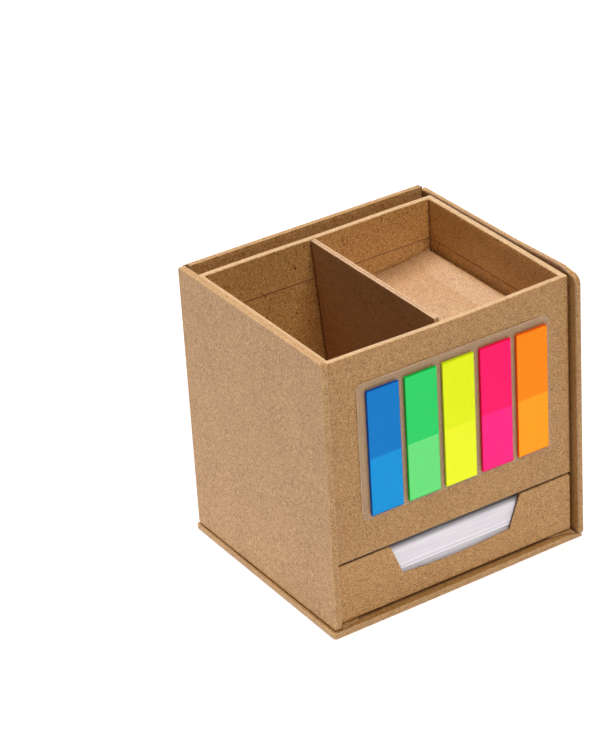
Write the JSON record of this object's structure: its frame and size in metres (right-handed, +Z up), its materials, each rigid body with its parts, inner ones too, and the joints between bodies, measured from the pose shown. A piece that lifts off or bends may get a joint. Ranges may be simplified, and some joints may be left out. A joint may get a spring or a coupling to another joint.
{
  "type": "memo cube pencil holder",
  "caption": "Kraft-wrapped desk cube with a divided pencil box on top, a memo sheet drawer that slides out below it and page flag pads on its front.",
  "frame": {"origin": "middle of the base board's underside, on the desk", "axes": "+Z up, -Y towards the front with the flags and the drawer, +X to the right as seen from the front"},
  "size_m": [0.0976, 0.083, 0.0975],
  "materials": {
    "kraft_wrap": "uncoated kraft paper wrapped round greyboard, matte, with fine light and dark fibres",
    "kraft_lining": "uncoated kraft paper glued inside, matte",
    "chipboard": "bare folded chipboard, matte, with short fibres",
    "memo_paper": "white uncoated writing paper in a loose stack",
    "clear_card": "clear glossy film",
    "flag_blue": "blue film, satin",
    "flag_green": "fluorescent green film, satin",
    "flag_yellow": "fluorescent yellow film, satin",
    "flag_pink": "fluorescent pink film, satin",
    "flag_orange": "fluorescent orange film, satin"
  },
  "bodies": {
    "case": {"base_board": "kraft_wrap", "left_panel": "kraft_wrap", "right_panel": "kraft_wrap", "back_panel": "kraft_wrap", "box_front_wall": "kraft_wrap", "box_back_wall": "kraft_wrap", "box_left_wall": "kraft_wrap", "box_right_wall": "kraft_wrap", "base_lining": "kraft_lining", "back_lining": "kraft_lining", "left_hinge_paper": "kraft_lining", "right_hinge_paper": "kraft_lining", "box_bottom": "kraft_lining", "divider": "chipboard", "shallow_tray": "chipboard", "flag_card": "clear_card", "flag_pad_blue": "flag_blue", "flag_pad_green": "flag_green", "flag_pad_yellow": "flag_yellow", "flag_pad_pink": "flag_pink", "flag_pad_orange": "flag_orange"},
    "drawer": {"drawer_front": "kraft_wrap", "drawer_back_wall": "kraft_wrap", "drawer_left_wall": "kraft_wrap", "drawer_right_wall": "kraft_wrap", "drawer_bottom": "kraft_lining", "memo_sheets_lower": "memo_paper", "memo_sheets_upper": "memo_paper"}
  },
  "joints": [
    {"name": "drawer_slide", "type": "slide", "parent": "case", "child": "drawer", "axis": [0, -1, 0], "range_m": [0, 0.06]}
  ]
}
